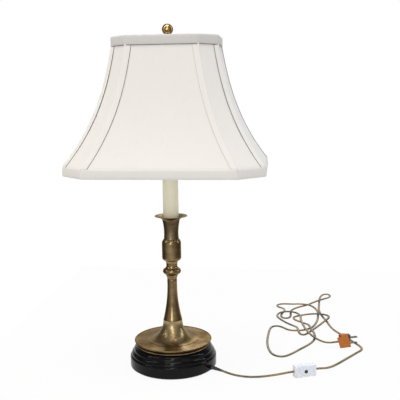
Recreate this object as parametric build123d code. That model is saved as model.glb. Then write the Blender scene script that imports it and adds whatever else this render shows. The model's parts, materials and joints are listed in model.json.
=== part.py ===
from build123d import *
import os
from math import acos, cos, hypot, radians, sin, sqrt, tan

# Candle lamp with a cut-corner bell shade, in millimetres.
# The origin is on the floor under the lamp's axis, +Z is up, and the shade's long side lies along X.

# Felt pad and turned wooden base
felt_thick = 1.6
felt_inset = 4.0
base_r = 89.5
base_h = 43.4
base_foot_round = 2.5
base_side_h = 19.4
base_bead_w = 1.9
base_bead_h = 4.5
base_step_w = 0.8
base_step_h = 0.5
base_ovolo_w = 4.0
base_ovolo_h = 7.8
base_top_r = 73.0
base_top_edge = 1.0
base_crown_t = 12.0
base_wall = 15.5
arc_soft_share = 0.16
arc_quarter_share = (sqrt(2) - 1) / 2

# Pipe through the whole lamp, and what clamps it below
pipe_r = 4.85
pipe_bore_r = 3.4
pipe_clear = 0.35
pipe_overhang = 0.5
ballast_gap = 12.0
ballast_t = 10.0
washer_r = 16.0
washer_t = 2.0
nut_across = 14.0
nut_h = 5.0

# Mains cord and the bushing that it leaves the base through
cord_d = 3.6
cord_clear = 0.1
cord_own_steps = 4
bend_run_share = 0.45
exit_angle = -22.0
exit_h = 7.6
bushing_sleeve_r = 4.2
bushing_flange_r = 5.4
bushing_flange_t = 1.2
bushing_seat_depth = 1.0
bushing_clear = 0.05

# Spun brass foot
foot_plate_r = 76.0
foot_plate_t = 3.4
foot_plate_round = 1.2
dish_r = 79.9
dish_sheet = 1.3
dish_foot_r = 66.0
dish_rim_h = 6.2
dish_crown_h = 8.2
dish_roll_r = 1.0
dish_sag_share = 0.02
trumpet_foot_r = 54.0
trumpet_top_r = 19.6
trumpet_h = 40.0
trumpet_edge_h = 0.4
trumpet_wall = 1.8
trumpet_top_t = 2.0
trumpet_sag_share = 0.2

# Stem of the candlestick
cone_foot_r = 19.2
cone_neck_r = 10.1
cone_h = 90.4
cone_neck_h = 83.8
cone_bead_h = 0.9
cone_bead_in = 0.7
cone_hollow_share = 0.035
knob_foot_r = 10.6
knob_cove_r = 12.6
knob_r = 18.6
knob_neck_r = 11.5
knob_top_r = 13.4
knob_h = 34.6
knob_cove_h_share = 0.14
knob_bulge_h_shares = (0.2, 0.52)
knob_shoulder_share = 0.8
knob_neck_h_share = 0.76
collar_foot_r = 13.6
collar_r = 19.6
collar_top_r = 15.6
collar_h = 44.9
collar_foot_h = 6.8
collar_shoulder_h = 9.0

# Drip cup and candle sleeve
cup_tube_r = 15.35
cup_flare_r = 17.2
cup_rim_r = 33.2
cup_h = 47.9
cup_flare_h = 36.5
cup_rim_drop = 7.1
cup_rim_t = 1.2
cup_clear = 0.3
cup_neck_share = 0.04
cup_saucer_share = 0.1
sleeve_r = 15.8
sleeve_wall = 1.6
sleeve_h = 101.6
sleeve_cap_over = 0.6
sleeve_cap_t = 2.0
sleeve_cap_spigot_h = 4.0

# Harp, its saddle and ferrules
saddle_t = 1.6
saddle_w = 14.0
saddle_arm_w = 9.0
saddle_arm_h = 17.4
harp_leg_x = 28.0
harp_wire_r = 1.6
harp_stud_r = 1.55
harp_stud_h = 11.0
harp_fit_clear = 0.08
harp_end_r = 2.5
harp_end_h = 16.0
harp_rest_gap = 0.3
ferrule_r = 3.7
ferrule_h = 12.0
harp_h = 223.3
harp_bow_x = 56.0
harp_knee_h = 36.0
harp_bow_low_h = 80.0
harp_bow_high_h = 160.0
harp_top_x = 22.0
harp_radii = (24.0, 40.0, 52.0, 16.0)
harp_plate_r = 8.0
harp_plate_t = 2.4
stud_r = 3.17
stud_h = 14.0
stud_clear = 0.08

# Socket and bulb
socket_foot_r = 9.0
socket_r = 17.5
socket_cap_h = 16.0
socket_cap_lip_h = 4.5
socket_sheet = 0.6
socket_gap = 0.15
socket_shell_lap = 4.0
socket_shell_h = 43.0
socket_shell_lip = 1.0
liner_t = 0.8
body_h = 15.0
body_lift = 2.5
screw_shell_r = 14.2
screw_shell_t = 0.6
screw_shell_h = 23.0
contact_w = 5.0
contact_t = 0.8
contact_h = 2.2
terminal_r = 2.2
terminal_h = 1.8
pipe_in_cap = 5.8
bulb_base_r = 13.2
bulb_base_h = 25.0
bulb_tip_r = 4.5
bulb_tip_h = 2.0
bulb_neck_r = 14.2
bulb_r = 30.0
bulb_h = 89.0
bulb_neck_h = 8.5
bulb_cheek_angle = 38.0
bulb_arc_angle = 26.0
glass_t = 0.9
bulb_gap = 0.3

# Cut-corner bell shade
shade_bottom_z = 405.0
shade_h = 263.5
shade_top_half = (103.0, 77.0)
shade_bottom_half = (193.0, 142.0)
shade_top_cut = 34.0
shade_bottom_cut = 49.0
top_band_h = 20.5
bottom_band_h = 18.5
bell_straight_share = 0.45
bell_power_share = 2.6
bell_level_shares = (0.0, 0.14, 0.28, 0.42, 0.56, 0.7, 0.85, 1.0)
fabric_t = 0.8
fabric_gap = 0.15
panel_edge_gap = 0.15
hem = 0.8
strip_lap = 1.5
strip_reach = 11.5
strip_t = 0.6
frame_gap = 0.3
rib_gap = 1.1
ring_wire_r = 1.6
rib_wire_r = 1.2
lining_inset = 5.4
lining_t = 0.5
spider_hub_r = 10.5
spider_hub_t = 1.6
spider_arm_r = 1.5
spider_rise_share = 0.25

# Finial
finial_washer_r = 8.5
finial_washer_t = 1.2
finial_gap = 0.3
finial_foot_r = 7.0
finial_foot_h = 3.0
finial_neck_r = 4.6
finial_ball_r = 11.0
finial_arc_angle = 20.0
finial_h = 40.8
finial_bore_h = 12.0
finial_neck_share = 0.08

# Inline switch, standing on its narrow side
switch_at = (270.0, -45.0)
switch_angle = 22.5
switch_l = 46.0
switch_t = 15.0
switch_w = 24.0
switch_round = 2.4
switch_wall = 1.8
button_r = 3.4
button_out = 1.6
button_clear = 0.1
button_flange_r = 4.6
button_flange_t = 1.2
button_stem_r = 1.6
button_travel = 1.2
button_ring_w = 1.7
button_ring_h = 0.7
case_screw_r = 1.6
case_screw_head_r = 2.6
case_screw_head_t = 1.2
case_screw_x = 15.0
case_screw_clear = 0.05
post_r = 3.2
leaf_l = 24.0
leaf_w = 4.0
leaf_t = 0.6
leaf_z = 5.0

# Plug, standing on its narrow side
plug_at = (353.8, 119.7)
plug_angle = 22.0
plug_l = 22.5
plug_t = 13.0
plug_w = 28.0
plug_nose = 6.5
plug_nose_cut = 6.5
plug_round = 1.6
blade_l = 19.0
blade_pitch = 12.7
blade_w = 6.35
blade_wide_w = 7.9
blade_t = 1.5
blade_tip = 1.6
blade_hole_r = 1.6
blade_hole_back = 4.2
blade_root_l = 8.0
tag_t = 0.5
tag_gap = 0.2
tag_strap_shares = (0.0, 0.62)
tag_back_low_share = 0.3
tag_leaf_shares = (
    (-0.11, 0.02),
    (1.05, 0.04),
    (0.96, 0.39),
    (0.72, 0.89),
    (0.51, 1.2),
    (0.32, 1.07),
    (-0.15, 0.98),
    (-0.48, 0.9),
)

# Cord's route: places on its centre line, from the bushing to the switch and from the switch to the plug
cord_to_switch = [
    (83.32, -33.66, 7.6), (96, -38.8, 6.6), (112, -46, 3.2), (132, -57, 1.8), (157, -64, 1.8),
    (182, -63, 2.6), (205, -61.5, 5.6), (222, -62.5, 9.6), (236, -59.1, 11.8), (248.6, -53.87, 12),
]
cord_to_plug = [
    (291.4, -36.13, 12), (302.5, -31.5, 11.4), (315, -20, 7.6), (327, -1, 3.2), (340, 18, 1.8),
    (354, 38, 1.8), (371, 62, 1.8), (388, 87, 1.8), (400, 103, 1.8), (400, 121, 1.8), (387, 150, 1.8),
    (369, 190, 1.8), (353, 218, 1.8), (343, 248, 1.8), (337, 290, 1.8), (326, 338, 1.8), (322, 382, 1.8),
    (326, 430, 1.8), (329, 476, 1.8), (335, 508, 1.8), (344, 526, 1.8), (357, 527, 1.8), (361, 512, 1.8),
    (357, 494, 2.4), (344, 470, 6.1), (318, 443, 6.1), (293, 420, 1.8), (266, 398, 1.8), (250, 372, 1.8),
    (250, 344, 1.8), (249, 320, 1.8), (241, 308, 1.8), (230, 310, 1.8), (225, 323, 1.8), (227, 345, 1.8),
    (236, 368, 1.8), (232, 390, 1.8), (217, 401, 1.8), (215, 420, 1.8), (232, 430, 1.8), (256, 424, 2.8),
    (278, 418, 6.1), (303, 408, 6.1), (318, 384, 1.8), (319, 348, 1.8), (316, 308, 1.8), (309, 270, 1.8),
    (296, 236, 1.8), (270, 218, 1.8), (243, 219, 1.8), (229, 240, 1.8), (216, 250, 1.8), (203, 243, 1.8),
    (198, 222, 1.8), (195, 186, 1.8), (193, 140, 1.8), (196, 94, 1.8), (206, 58, 1.8), (227, 47, 1.8),
    (246, 66, 1.8), (268, 100, 1.8), (290, 132, 1.8), (302, 164, 1.8), (302, 190, 6.1), (295, 218, 6.1),
    (292, 248, 6.1), (285, 270, 1.8), (270, 285, 1.8), (257, 300, 1.8), (256, 320, 1.8), (272, 332, 1.8),
    (292, 334, 5.2), (310, 336, 6.1), (330, 334, 6.1), (344, 322, 6.1), (342, 302, 6.1), (329, 277, 6.1),
    (312, 250, 1.8), (297, 222, 1.8), (285, 198, 1.8), (276, 188, 1.8), (267, 195, 2.8), (265, 210, 6.1),
    (263, 231, 6.1), (252, 252, 3.0), (238, 270, 3.0), (222, 289, 6.1), (214, 313, 6.1), (221, 340, 6.1),
    (243, 352, 6.1), (265, 342, 6.1), (274, 318, 6.1), (273, 290, 6.1), (276, 258, 6.1), (281, 226, 6.1),
    (289, 192, 6.1), (299, 164, 6.1), (311, 143, 6.3), (321, 126, 8.6), (331, 115.5, 11.8), (342, 115.2, 13.4),
    (353.66, 119.64, 14),
]

# Fully set heights, each from the piece below
overrun = 1.0
flange_x = base_r - bushing_seat_depth + bushing_flange_t
base_top = felt_thick + base_h
plate_top = base_top + foot_plate_t
trumpet_z = plate_top + dish_crown_h
cone_z = trumpet_z + trumpet_h
knob_z = cone_z + cone_h
collar_z = knob_z + knob_h
cup_z = collar_z + collar_h
sleeve_z = cup_z + cup_flare_h
sleeve_top = sleeve_z + sleeve_h
saddle_z = sleeve_top + sleeve_cap_t
socket_z = saddle_z + saddle_t
harp_z = saddle_z + saddle_arm_h + harp_rest_gap
harp_top = harp_z + harp_h
shell_z = socket_z + socket_cap_h - socket_shell_lap
shell_top = shell_z + socket_shell_h
shell_in_r = socket_r - socket_sheet - socket_gap - socket_sheet
liner_r = shell_in_r - socket_gap
body_r = liner_r - liner_t - socket_gap
body_z = shell_z + body_lift
body_top = body_z + body_h
bulb_z = body_top + contact_h + bulb_gap
recess_r = base_r - base_wall
ballast_r = recess_r - ballast_gap
recess_top = base_top - base_crown_t
ballast_z = recess_top - ballast_t
washer_z = ballast_z - washer_t
nut_z = washer_z - nut_h
pipe_z = nut_z - pipe_overhang
pipe_top = socket_z + pipe_in_cap
shade_top_z = shade_bottom_z + shade_h
bell_top_z = shade_top_z - top_band_h
bell_bottom_z = shade_bottom_z + bottom_band_h
hub_z = harp_top + harp_plate_t + frame_gap
washer2_z = hub_z + spider_hub_t + finial_gap
finial_z = washer2_z + finial_washer_t + finial_gap


def bulged(start, end, share):
    """Middle point of an arc from start to end that stands share of the chord to its left."""
    dx = end[0] - start[0]
    dy = end[1] - start[1]
    return ((start[0] + end[0]) / 2 - dy * share, (start[1] + end[1]) / 2 + dx * share)


def profile(start, *steps):
    """Closed face: a step is a point for a straight run, or (point, share) for an arc to it."""
    edges = []
    here = start
    for step in steps:
        if isinstance(step[0], tuple):
            end, share = step
            edges.append(ThreePointArc(here, bulged(here, end, share), end))
        else:
            end = step
            edges.append(Line(here, end))
        here = end
    edges.append(Line(here, start))
    return make_face(edges)


def turned(start, *steps):
    """Solid of revolution about Z from an outline in (radius, height)."""
    return revolve(Plane.XZ * profile(start, *steps), Axis.Z)


def rod(r, z0, z1, x=0, y=0):
    """Upright round bar from height z0 to z1."""
    return Pos(x, y, z0) * extrude(Circle(r), z1 - z0)


def tube(outer, inner, z0, z1, x=0, y=0):
    """Upright round tube."""
    return Pos(x, y, z0) * extrude(Circle(outer) - Circle(inner), z1 - z0)


def block(x0, x1, y0, y1, z0, z1):
    """Box between six planes."""
    centre = ((x0 + x1) / 2, (y0 + y1) / 2, (z0 + z1) / 2)
    return Pos(*centre) * Box(x1 - x0, y1 - y0, z1 - z0)


def tangent_share(across, ahead):
    """Bulge of an arc that starts straight ahead and has moved across at its end."""
    return (hypot(across, ahead) - ahead) / (2 * across)


def swept(points, radii, r):
    """Round bar along straight runs joined by tangent arcs."""
    path = FilletPolyline(*points, radius=radii)
    start = Plane(origin=path @ 0, z_dir=path % 0)
    return sweep(start * Circle(r), path=path)


def bend_radii(points):
    """Radius at each inner point that uses the same share of the shorter run beside it."""
    radii = []
    for before, here, after in zip(points, points[1:], points[2:]):
        u = [b - a for a, b in zip(before, here)]
        v = [b - a for a, b in zip(here, after)]
        lu = hypot(*u)
        lv = hypot(*v)
        turn = acos(sum(p * q for p, q in zip(u, v)) / (lu * lv))
        radii.append(bend_run_share * min(lu, lv) / tan(turn / 2))
    return radii


def bent_wire(points, r):
    """Round bar whose bends are as wide as its runs allow."""
    return swept(points, bend_radii(points), r)


# Foot
def felt_pad():
    return rod(base_r - felt_inset, 0, felt_thick)


def turned_base():
    z0 = felt_thick
    side = z0 + base_side_h
    bead = side + base_bead_h
    ovolo = bead + base_step_h + base_ovolo_h
    r1 = base_r - base_bead_w
    r2 = r1 - base_step_w
    r3 = r2 - base_ovolo_w
    r4 = r3 - base_step_w
    crown = ovolo + base_step_h
    crown_r = base_top_r + base_top_edge
    crown_top = base_top - base_top_edge
    foot_r = base_r - base_foot_round
    wood = turned(
        (recess_r, z0),
        (foot_r, z0),
        ((base_r, z0 + base_foot_round), -arc_quarter_share),
        (base_r, side),
        ((r1, bead), -tangent_share(base_bead_w, base_bead_h)),
        (r2, bead),
        (r2, bead + base_step_h),
        ((r3, ovolo), -tangent_share(base_ovolo_w, base_ovolo_h)),
        (r4, ovolo),
        (r4, crown),
        ((crown_r, crown_top), -tangent_share(r4 - crown_r, crown_top - crown)),
        (base_top_r, base_top),
        (pipe_r + pipe_clear, base_top),
        (pipe_r + pipe_clear, recess_top),
        (recess_r, recess_top),
    )
    hole = Cylinder(bushing_sleeve_r + bushing_clear, base_r, rotation=(0, 90, 0))
    hole = Pos(base_r, 0, 0) * hole
    seat = Cylinder(bushing_flange_r + bushing_clear, base_r, rotation=(0, 90, 0))
    seat = Pos(base_r - bushing_seat_depth + base_r / 2, 0, 0) * seat
    return wood - exit_place() * hole - exit_place() * seat


def exit_place():
    """Frame of the cord's hole: local X points out of the base."""
    return Pos(0, 0, exit_h) * Rot(0, 0, exit_angle)


def cord_bushing():
    bore = cord_d / 2 + cord_clear
    seat = base_r - bushing_seat_depth
    outline = profile(
        (recess_r, bore),
        (recess_r, bushing_sleeve_r),
        (seat, bushing_sleeve_r),
        (seat, bushing_flange_r),
        (flange_x, bushing_flange_r),
        (flange_x, bore),
    )
    return exit_place() * revolve(outline, Axis.X)


def ballast():
    return tube(ballast_r, pipe_r + pipe_clear, ballast_z, recess_top)


def pipe_washer():
    return tube(washer_r, pipe_r + pipe_clear, washer_z, ballast_z)


def pipe_nut():
    hexagon = RegularPolygon(nut_across / 2, 6, major_radius=False)
    return Pos(0, 0, nut_z) * extrude(hexagon - Circle(pipe_r + stud_clear), nut_h)


def threaded_pipe():
    return tube(pipe_r, pipe_bore_r, pipe_z, pipe_top)


def foot_plate():
    r = foot_plate_r - foot_plate_round
    return turned(
        (pipe_r + pipe_clear, base_top),
        (r, base_top),
        (foot_plate_r, base_top + foot_plate_round),
        (foot_plate_r, plate_top - foot_plate_round),
        (r, plate_top),
        (pipe_r + pipe_clear, plate_top),
    )


def foot_dish():
    """Shallow pan that goes on from the trumpet's flare to a rolled rim, with a foot ring under it."""
    hole = pipe_r + pipe_clear
    crown = trumpet_z
    crown_r = trumpet_foot_r - dish_sheet
    rim_r = dish_r - dish_roll_r
    rim_z = plate_top + dish_rim_h
    fallen_share = (dish_foot_r - crown_r) / (rim_r - crown_r)
    under = crown - dish_sheet - (crown - rim_z) * fallen_share
    ring_in_r = dish_foot_r - dish_sheet
    pan = turned(
        (hole, crown),
        (crown_r, crown),
        ((rim_r, rim_z), -dish_sag_share),
        (rim_r, rim_z - dish_sheet),
        (dish_foot_r, under),
        (dish_foot_r, plate_top),
        (ring_in_r, plate_top),
        (ring_in_r, under),
        (crown_r, crown - dish_sheet),
        (hole, crown - dish_sheet),
    )
    roll = Pos(0, 0, rim_z) * Torus(rim_r, dish_roll_r)
    return pan + roll


def trumpet():
    """Flared skirt between the dish and the stem, spun hollow."""
    z0 = trumpet_z
    edge = z0 + trumpet_edge_h
    top = z0 + trumpet_h
    hole = pipe_r + pipe_clear
    under = top - trumpet_top_t
    return turned(
        (trumpet_foot_r, z0),
        (trumpet_foot_r, edge),
        ((trumpet_top_r, top), trumpet_sag_share),
        (hole, top),
        (hole, under),
        (trumpet_top_r - trumpet_wall, under),
        ((trumpet_foot_r - trumpet_wall, z0), -trumpet_sag_share),
    )


def stem_cone():
    z0 = cone_z
    bore = pipe_r + pipe_clear
    neck = z0 + cone_neck_h
    return turned(
        (bore, z0),
        (cone_foot_r - cone_bead_in, z0),
        (cone_foot_r - cone_bead_in, z0 + cone_bead_h),
        (cone_foot_r, z0 + cone_bead_h),
        ((cone_neck_r, neck), cone_hollow_share),
        ((knob_foot_r, knob_z), arc_soft_share / 2),
        (bore, knob_z),
    )


def knob():
    """Bulge between two coves."""
    z0 = knob_z
    bore = pipe_r + pipe_clear
    low = z0 + knob_h * knob_cove_h_share
    bulge0 = z0 + knob_h * knob_bulge_h_shares[0]
    bulge1 = z0 + knob_h * knob_bulge_h_shares[1]
    neck = z0 + knob_h * knob_neck_h_share
    shoulder = knob_r * knob_shoulder_share
    bulge_share = (knob_r - shoulder) / (bulge1 - bulge0)
    return turned(
        (bore, z0),
        (knob_foot_r, z0),
        (knob_cove_r, low),
        (shoulder, bulge0),
        ((shoulder, bulge1), -bulge_share),
        ((knob_neck_r, neck), arc_soft_share),
        ((knob_top_r, collar_z), arc_soft_share / 2),
        (bore, collar_z),
    )


def collar():
    z0 = collar_z
    bore = pipe_r + pipe_clear
    foot_share = tangent_share(collar_r - collar_foot_r, collar_foot_h)
    shoulder_share = tangent_share(collar_r - collar_top_r, collar_shoulder_h)
    return turned(
        (bore, z0),
        (collar_foot_r, z0),
        ((collar_r, z0 + collar_foot_h), -foot_share),
        (collar_r, cup_z - collar_shoulder_h),
        ((collar_top_r, cup_z), -shoulder_share),
        (bore, cup_z),
    )


def drip_cup():
    """Tube under the candle sleeve that opens into a thin saucer."""
    z0 = cup_z
    bore = pipe_r + pipe_clear
    seat_r = sleeve_r + cup_clear
    rim = z0 + cup_h
    lip = rim - cup_rim_drop
    return turned(
        (bore, z0),
        (cup_tube_r, z0),
        ((cup_flare_r, sleeve_z), cup_neck_share),
        ((cup_flare_r + cup_rim_t, lip), cup_neck_share),
        ((cup_rim_r, rim - cup_rim_t / 2), cup_saucer_share),
        (cup_rim_r, rim),
        (cup_rim_r - cup_rim_t, rim),
        ((seat_r + cup_rim_t / 2, lip + cup_rim_t), -cup_saucer_share),
        (seat_r, lip),
        (seat_r, sleeve_z),
        (bore, sleeve_z),
    )


def candle_sleeve():
    return tube(sleeve_r, sleeve_r - sleeve_wall, sleeve_z, sleeve_top)


def sleeve_cap():
    bore = pipe_r + pipe_clear
    spigot = sleeve_r - sleeve_wall - cup_clear
    plate = tube(sleeve_r + sleeve_cap_over, bore, sleeve_top, saddle_z)
    return plate + tube(spigot, bore, sleeve_top - sleeve_cap_spigot_h, sleeve_top)


# Harp
def harp_saddle():
    half = saddle_w / 2
    arm_half = saddle_arm_w / 2
    arm_top = saddle_z + saddle_arm_h
    reach = harp_leg_x + arm_half / 2
    strip = block(-reach, reach, -half, half, saddle_z, socket_z)
    strip -= rod(pipe_r + pipe_clear, saddle_z - overrun, socket_z + overrun)
    for side in (-1, 1):
        x0, x1 = sorted((side * (harp_leg_x - arm_half / 2), side * reach))
        strip += block(x0, x1, -arm_half, arm_half, socket_z, arm_top)
        strip += rod(harp_stud_r, arm_top, arm_top + harp_stud_h, side * harp_leg_x)
    return strip


def harp():
    """Bent wire bow with a tubular end over each stud of the saddle."""
    end_top = harp_z + harp_end_h
    low = end_top - harp_end_r
    right = [
        (harp_leg_x, 0, low),
        (harp_leg_x, 0, harp_z + harp_knee_h),
        (harp_bow_x, 0, harp_z + harp_bow_low_h),
        (harp_bow_x, 0, harp_z + harp_bow_high_h),
        (harp_top_x, 0, harp_top - harp_wire_r),
    ]
    left = [(-x, y, z) for x, y, z in reversed(right)]
    radii = list(harp_radii) + list(reversed(harp_radii))
    bow = swept(right + left, radii, harp_wire_r)
    for side in (-1, 1):
        x = side * harp_leg_x
        end = rod(harp_end_r, harp_z, end_top, x)
        socket_end = harp_z + harp_stud_h
        end -= rod(harp_stud_r + harp_fit_clear, harp_z - overrun, socket_end, x)
        bow += end
    return bow


def harp_ferrule(side):
    return tube(ferrule_r, harp_end_r + harp_fit_clear, harp_z, harp_z + ferrule_h, side * harp_leg_x)


def harp_stud():
    plate = rod(harp_plate_r, harp_top, harp_top + harp_plate_t)
    return plate + rod(stud_r, harp_top + harp_plate_t, harp_top + harp_plate_t + stud_h)


# Socket and bulb
def socket_cap():
    z0 = socket_z
    top = z0 + socket_cap_h
    lip = top - socket_cap_lip_h
    bore = pipe_r + stud_clear
    inner = socket_r - socket_sheet
    floor = z0 + 2 * socket_sheet
    outer_share = tangent_share(socket_r - socket_foot_r, lip - z0)
    inner_share = tangent_share(inner - socket_foot_r, lip - floor)
    return turned(
        (bore, z0),
        (socket_foot_r, z0),
        ((socket_r, lip), -outer_share),
        (socket_r, top),
        (inner, top),
        (inner, lip),
        ((socket_foot_r, floor), inner_share),
        (bore, floor),
    )


def socket_shell():
    outer = shell_in_r + socket_sheet
    shell = tube(outer, shell_in_r, shell_z, shell_top)
    lip = tube(outer + socket_shell_lip, shell_in_r, shell_top, shell_top + socket_shell_lip)
    return shell + lip


def socket_liner():
    return tube(liner_r, liner_r - liner_t, body_z, shell_top - overrun)


def socket_body():
    body = rod(body_r, body_z, body_top)
    middle = (body_z + body_top) / 2
    for side in (-1, 1):
        x0, x1 = sorted((side * (body_r - terminal_h - overrun), side * (body_r + overrun)))
        body -= block(x0, x1, -contact_w, contact_w, middle - contact_w, middle + contact_w)
    return body


def terminal_screws():
    middle = (body_z + body_top) / 2
    x = body_r - terminal_h / 2 - overrun
    screw = Cylinder(terminal_r, terminal_h, rotation=(0, 90, 0))
    return [Pos(side * x, 0, middle) * screw for side in (-1, 1)]


def screw_shell():
    return tube(screw_shell_r, screw_shell_r - screw_shell_t, body_top, body_top + screw_shell_h)


def centre_contact():
    half = contact_w / 2
    foot = block(-2 * half, half, -half, half, body_top, body_top + contact_t)
    post = block(-2 * half, contact_t - 2 * half, -half, half, body_top, body_top + contact_h)
    tip = block(-2 * half, half, -half, half, body_top + contact_h - contact_t, body_top + contact_h)
    return foot + post + tip


def bulb_base():
    tip_top = bulb_z + bulb_tip_h
    tip = rod(bulb_tip_r, bulb_z, tip_top)
    cone = Pos(0, 0, tip_top) * extrude(Circle(bulb_base_r), bulb_base_h)
    cavity = rod(bulb_base_r - glass_t, tip_top + 2 * glass_t, tip_top + bulb_base_h + overrun)
    return tip + cone - cavity


def bulb_glass():
    """Pear-shaped envelope, open at its neck into the base."""
    foot = bulb_z + bulb_tip_h + bulb_base_h
    top = foot + bulb_h
    centre = top - bulb_r
    inner = bulb_r - glass_t
    neck_in = bulb_neck_r - glass_t
    neck = foot + bulb_neck_h
    side = (bulb_r * cos(radians(bulb_cheek_angle)), centre - bulb_r * sin(radians(bulb_cheek_angle)))
    side_in = (inner * cos(radians(bulb_cheek_angle)), centre - inner * sin(radians(bulb_cheek_angle)))
    outer_mid = (bulb_r * cos(radians(bulb_arc_angle)), centre + bulb_r * sin(radians(bulb_arc_angle)))
    inner_mid = (inner * cos(radians(bulb_arc_angle)), centre + inner * sin(radians(bulb_arc_angle)))
    edges = [
        Line((neck_in, foot), (bulb_neck_r, foot)),
        Line((bulb_neck_r, foot), (bulb_neck_r, neck)),
        Line((bulb_neck_r, neck), side),
        ThreePointArc(side, outer_mid, (0, top)),
        Line((0, top), (0, top - glass_t)),
        ThreePointArc((0, top - glass_t), inner_mid, side_in),
        Line(side_in, (neck_in, neck)),
        Line((neck_in, neck), (neck_in, foot)),
    ]
    return revolve(Plane.XZ * make_face(edges), Axis.Z)


# Shade
def bell(share):
    """How far the shade has opened, from 0 at the top band to 1 at the bottom band."""
    return bell_straight_share * share + (1 - bell_straight_share) * share**bell_power_share


def bell_level(share):
    return bell_top_z + (bell_bottom_z - bell_top_z) * share


def corners(share, inset):
    """The eight corners of the shade's outline at a share of its flare, moved in by inset."""
    opened = bell(share)
    a = shade_top_half[0] + (shade_bottom_half[0] - shade_top_half[0]) * opened - inset
    b = shade_top_half[1] + (shade_bottom_half[1] - shade_top_half[1]) * opened - inset
    c = shade_top_cut + (shade_bottom_cut - shade_top_cut) * opened - inset * (2 - sqrt(2))
    quarter = [(a, b - c), (a - c, b)]
    ring = quarter + [(-x, y) for x, y in reversed(quarter)]
    return ring + [(-x, -y) for x, y in ring]


def along(p, q, distance):
    """Point at a distance from p towards q."""
    length = hypot(q[0] - p[0], q[1] - p[1])
    return (p[0] + (q[0] - p[0]) * distance / length, p[1] + (q[1] - p[1]) * distance / length)


def flat_face(points, z):
    return Pos(0, 0, z) * make_face(Polyline(*points, close=True))


def lofted(section, top_extra, bottom_extra):
    """Bell-curved solid whose section(share) runs on straight at its top and bottom."""
    faces = [flat_face(section(s), bell_level(s)) for s in bell_level_shares]
    solid = loft(faces)
    if top_extra > 0:
        solid += extrude(faces[0], top_extra, dir=(0, 0, 1))
    if bottom_extra > 0:
        solid += extrude(faces[-1], bottom_extra, dir=(0, 0, -1))
    return solid


def panel_section(k):
    def section(share):
        outer = corners(share, 0)
        inner = corners(share, fabric_t)
        p, q = outer[k], outer[(k + 1) % 8]
        r, s = inner[k], inner[(k + 1) % 8]
        gap = panel_edge_gap
        return [along(p, q, gap), along(q, p, gap), along(s, r, gap), along(r, s, gap)]

    return section


def shade_panel(k):
    return lofted(panel_section(k), top_band_h - hem, bottom_band_h - hem)


def strip_section(k):
    """Folded strip: it reaches over one side of its corner and only laps over the other."""
    wide_after = k % 4 in (0, 1)
    to_after = strip_reach if wide_after else strip_lap
    to_before = strip_lap if wide_after else strip_reach

    def section(share):
        outer = corners(share, -fabric_gap - strip_t)
        inner = corners(share, -fabric_gap)
        before, here, after = k - 1, k, (k + 1) % 8
        return [
            along(outer[here], outer[before], to_before),
            outer[here],
            along(outer[here], outer[after], to_after),
            along(inner[here], inner[after], to_after),
            inner[here],
            along(inner[here], inner[before], to_before),
        ]

    return section


def rib_strips():
    solids = []
    for k in range(8):
        strip = lofted(strip_section(k), 0, 0)
        solids.append(strip)
    return solids


def shade_band(share, z0, height):
    outer = Polyline(*corners(share, -fabric_gap - strip_t - fabric_gap - fabric_t), close=True)
    inner = Polyline(*corners(share, -fabric_gap), close=True)
    return Pos(0, 0, z0) * extrude(make_face(outer) - make_face(inner), height)


def shade_lining():
    outer = lofted(lambda s: corners(s, lining_inset), 0, bottom_band_h - hem - 2 * ring_wire_r - frame_gap)
    inner = lofted(lambda s: corners(s, lining_inset + lining_t), 0, bottom_band_h)
    return outer - inner


def ring_inset(wire):
    return fabric_t + frame_gap + wire


def wire_ring(share, z):
    """Welded octagon of round wire inside the fabric."""
    ring = corners(share, ring_inset(ring_wire_r))
    points = [(x, y, z) for x, y in ring]
    path = FilletPolyline(*points, radius=2 * ring_wire_r, close=True)
    start = Plane(origin=path @ 0, z_dir=path % 0)
    return sweep(start * Circle(ring_wire_r), path=path)


def rib(k):
    """Bell-curved wire from the top ring to the bottom ring, inside a corner of the fabric."""
    inset = fabric_t + rib_gap + rib_wire_r
    ring = [corners(s, inset)[k] for s in bell_level_shares]
    points = [(x, y, bell_level(s)) for (x, y), s in zip(ring, bell_level_shares)]
    top = (ring[0][0], ring[0][1], shade_top_z - hem - 2 * ring_wire_r)
    foot = (ring[-1][0], ring[-1][1], shade_bottom_z + hem + 2 * ring_wire_r)
    return bent_wire([top, *points, foot], rib_wire_r)


def shade_spider():
    """Hub under the finial with four arms that rise to the top ring."""
    hub = tube(spider_hub_r, stud_r + stud_clear, hub_z, hub_z + spider_hub_t)
    ring_z = shade_top_z - hem - ring_wire_r
    middle_z = hub_z + spider_hub_t / 2
    reaches = [h - ring_inset(ring_wire_r) - ring_wire_r for h in shade_top_half]
    for angle, reach in ((0, reaches[0]), (90, reaches[1]), (180, reaches[0]), (270, reaches[1])):
        start_x = spider_hub_r - spider_arm_r
        knee = start_x + (reach - start_x) * spider_rise_share
        level = reach - 2 * spider_arm_r
        points = [(start_x, 0, middle_z), (knee, 0, middle_z), (level, 0, ring_z), (reach, 0, ring_z)]
        arm = swept(points, [3 * spider_arm_r, spider_arm_r], spider_arm_r)
        hub += Rot(0, 0, angle) * arm
    return hub


# Finial
def finial_washer():
    return tube(finial_washer_r, stud_r + stud_clear, washer2_z, washer2_z + finial_washer_t)


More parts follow.
